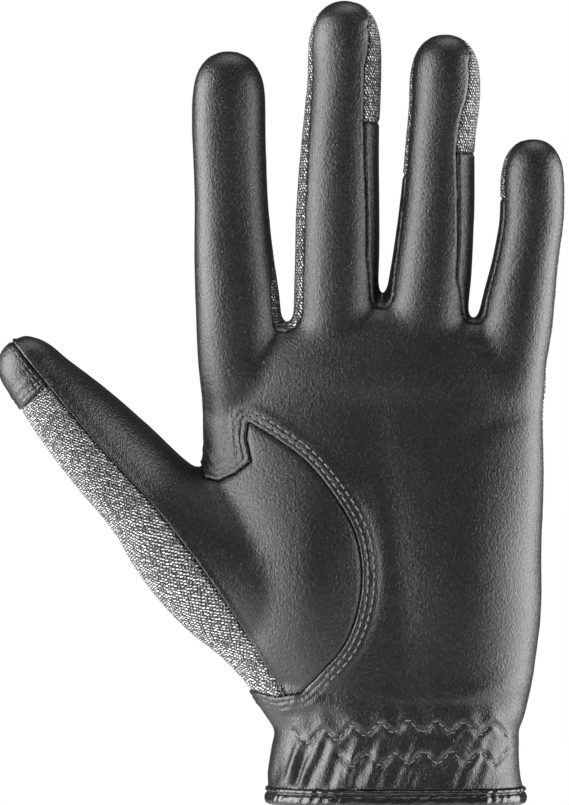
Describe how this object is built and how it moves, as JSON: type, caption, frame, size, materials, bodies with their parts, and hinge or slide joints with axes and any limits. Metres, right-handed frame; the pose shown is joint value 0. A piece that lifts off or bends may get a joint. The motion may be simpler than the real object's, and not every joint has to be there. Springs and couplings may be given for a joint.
{
  "type": "horse riding glove",
  "caption": "Left hand riding glove, filled as worn: grained leather palm, knit back, gusseted thumb, gathered wrist with a bound edge.",
  "frame": {"origin": "centre of the wrist opening, in the plane of the hem, where the hand goes in", "axes": "+Z from the wrist to the fingertips, -Y the way the palm faces, -X to the thumb"},
  "size_m": [0.1435, 0.0455, 0.2038],
  "materials": {
    "palm_leather": "fine-grained black synthetic leather with a soft sheen",
    "knit": "coarse black air knit with small holes",
    "binding": "glossy black elastic binding, crinkled"
  },
  "bodies": {
    "root": {"palm_panel": "palm_leather", "hand_back": "knit", "fourchette_index_middle": "knit", "fourchette_middle_ring": "palm_leather", "fourchette_ring_little": "palm_leather", "thumb_front": "palm_leather", "thumb_back": "knit", "thumb_tip_patch": "palm_leather", "wrist_back": "palm_leather", "hem_binding": "binding"}
  },
  "joints": []
}
